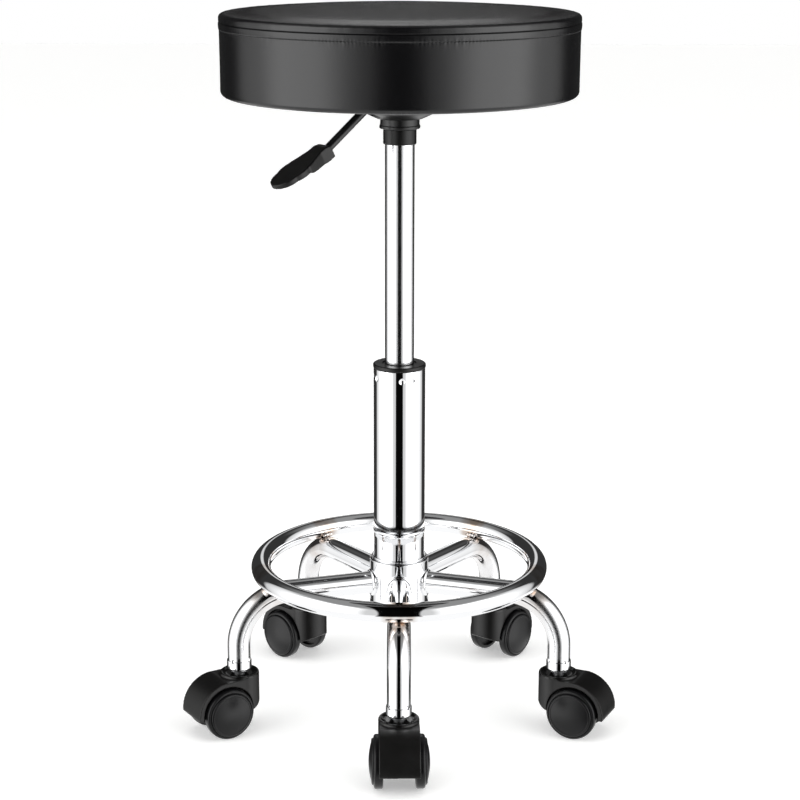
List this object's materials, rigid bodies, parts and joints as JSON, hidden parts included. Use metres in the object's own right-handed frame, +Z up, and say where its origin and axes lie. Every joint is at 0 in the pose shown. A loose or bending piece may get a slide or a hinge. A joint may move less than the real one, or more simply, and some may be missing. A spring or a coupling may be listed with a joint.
{
  "type": "adjustable swivel stool",
  "caption": "Height-adjustable swivel stool: round padded seat on a gas lift, tubular star base with a foot ring and twin-wheel casters.",
  "frame": {"origin": "on the floor, under the middle of the stool's footprint; the column axis stands 14.5 mm behind it", "axes": "+Z up the column, -Y towards the front leg, +X to the right when facing the front leg"},
  "size_m": [0.423, 0.4033, 0.69],
  "materials": {
    "vinyl": "satin",
    "foam": "matte",
    "plywood": "matte",
    "lining": "matte",
    "zinc_steel": "satin",
    "black_steel": "satin",
    "black_plastic": "satin",
    "dark_plastic": "matte",
    "wheel_plastic": "satin",
    "rubber": "matte",
    "chrome": "polished"
  },
  "bodies": {
    "base": {"outer_tube": "chrome", "guide_bushing": "black_plastic", "bottom_race": "zinc_steel", "bearing_balls": "zinc_steel", "socket_sleeve": "chrome", "hub": "chrome", "hub_welds": "chrome", "foot_ring": "chrome", "ring_welds": "chrome", "leg_1": "chrome", "leg_2": "chrome", "leg_3": "chrome", "leg_4": "chrome", "leg_5": "chrome", "leg_sockets": "dark_plastic", "caster_stems": "zinc_steel"},
    "swivel": {"piston_rod": "zinc_steel", "piston_head": "dark_plastic", "rubber_bumper": "rubber", "top_race": "zinc_steel", "rod_clip": "zinc_steel"},
    "seat": {"seat_top_panel": "vinyl", "seat_side_band": "vinyl", "seat_foam": "foam", "seat_board": "plywood", "dust_cover": "lining", "tee_nuts": "zinc_steel", "plate_bolts": "zinc_steel", "plate_washers": "zinc_steel", "mount_plate": "black_steel", "column_socket": "black_steel", "lever_bracket": "black_steel", "lever_pin": "zinc_steel", "gas_cylinder": "chrome", "cylinder_collar": "black_plastic", "rod_guide": "dark_plastic"},
    "lever": {"lever_rod": "black_steel", "lever_paddle": "black_plastic"},
    "button": {"release_button": "zinc_steel"},
    "caster_1": {"hood_1": "black_plastic", "axle_1": "zinc_steel"},
    "wheel_1a": {"wheel_1a": "wheel_plastic"},
    "wheel_1b": {"wheel_1b": "wheel_plastic"},
    "caster_2": {"hood_2": "black_plastic", "axle_2": "zinc_steel"},
    "wheel_2a": {"wheel_2a": "wheel_plastic"},
    "wheel_2b": {"wheel_2b": "wheel_plastic"},
    "caster_3": {"hood_3": "black_plastic", "axle_3": "zinc_steel"},
    "wheel_3a": {"wheel_3a": "wheel_plastic"},
    "wheel_3b": {"wheel_3b": "wheel_plastic"},
    "caster_4": {"hood_4": "black_plastic", "axle_4": "zinc_steel"},
    "wheel_4a": {"wheel_4a": "wheel_plastic"},
    "wheel_4b": {"wheel_4b": "wheel_plastic"},
    "caster_5": {"hood_5": "black_plastic", "axle_5": "zinc_steel"},
    "wheel_5a": {"wheel_5a": "wheel_plastic"},
    "wheel_5b": {"wheel_5b": "wheel_plastic"}
  },
  "joints": [
    {"name": "seat_swivel", "type": "hinge", "parent": "base", "child": "swivel", "pos_m": [0, 0.0145, 0.12], "axis": [0, 0, 1], "continuous": true},
    {"name": "seat_lift", "type": "slide", "parent": "swivel", "child": "seat", "axis": [0, 0, 1], "range_m": [-0.15, 0]},
    {"name": "lever_lift", "type": "hinge", "parent": "seat", "child": "lever", "pos_m": [-0.01734, 0.00096, 0.6075], "axis": [-0.6157, 0.788, 0], "range_deg": [0, 7]},
    {"name": "button_press", "type": "slide", "parent": "seat", "child": "button", "axis": [0, 0, 1], "range_m": [-0.003, 0]},
    {"name": "caster_1_swivel", "type": "hinge", "parent": "base", "child": "caster_1", "pos_m": [0, -0.1495, 0.05], "axis": [0, 0, 1], "continuous": true},
    {"name": "wheel_1a_spin", "type": "hinge", "parent": "caster_1", "child": "wheel_1a", "pos_m": [0.00056, -0.17099, 0.025], "axis": [0.9997, 0.0262, 0], "continuous": true},
    {"name": "wheel_1b_spin", "type": "hinge", "parent": "caster_1", "child": "wheel_1b", "pos_m": [0.00056, -0.17099, 0.025], "axis": [0.9997, 0.0262, 0], "continuous": true},
    {"name": "caster_2_swivel", "type": "hinge", "parent": "base", "child": "caster_2", "pos_m": [0.15597, -0.03618, 0.05], "axis": [0, 0, 1], "continuous": true},
    {"name": "wheel_2a_spin", "type": "hinge", "parent": "caster_2", "child": "wheel_2a", "pos_m": [0.17546, -0.04526, 0.025], "axis": [0.4226, 0.9063, 0], "continuous": true},
    {"name": "wheel_2b_spin", "type": "hinge", "parent": "caster_2", "child": "wheel_2b", "pos_m": [0.17546, -0.04526, 0.025], "axis": [0.4226, 0.9063, 0], "continuous": true},
    {"name": "caster_3_swivel", "type": "hinge", "parent": "base", "child": "caster_3", "pos_m": [0.0964, 0.14718, 0.05], "axis": [0, 0, 1], "continuous": true},
    {"name": "wheel_3a_spin", "type": "hinge", "parent": "caster_3", "child": "wheel_3a", "pos_m": [0.10993, 0.16389, 0.025], "axis": [-0.7771, 0.6293, 0], "continuous": true},
    {"name": "wheel_3b_spin", "type": "hinge", "parent": "caster_3", "child": "wheel_3b", "pos_m": [0.10993, 0.16389, 0.025], "axis": [-0.7771, 0.6293, 0], "continuous": true},
    {"name": "caster_4_swivel", "type": "hinge", "parent": "base", "child": "caster_4", "pos_m": [-0.0964, 0.14718, 0.05], "axis": [0, 0, 1], "continuous": true},
    {"name": "wheel_4a_spin", "type": "hinge", "parent": "caster_4", "child": "wheel_4a", "pos_m": [-0.11186, 0.16211, 0.025], "axis": [-0.6947, -0.7193, 0], "continuous": true},
    {"name": "wheel_4b_spin", "type": "hinge", "parent": "caster_4", "child": "wheel_4b", "pos_m": [-0.11186, 0.16211, 0.025], "axis": [-0.6947, -0.7193, 0], "continuous": true},
    {"name": "caster_5_swivel", "type": "hinge", "parent": "base", "child": "caster_5", "pos_m": [-0.15597, -0.03618, 0.05], "axis": [0, 0, 1], "continuous": true},
    {"name": "wheel_5a_spin", "type": "hinge", "parent": "caster_5", "child": "wheel_5a", "pos_m": [-0.17421, -0.04757, 0.025], "axis": [0.5299, -0.848, 0], "continuous": true},
    {"name": "wheel_5b_spin", "type": "hinge", "parent": "caster_5", "child": "wheel_5b", "pos_m": [-0.17421, -0.04757, 0.025], "axis": [0.5299, -0.848, 0], "continuous": true}
  ],
  "couplings": [
    {"joint": "button_press", "follows": "lever_lift", "m_per_rad": -0.0235}
  ]
}
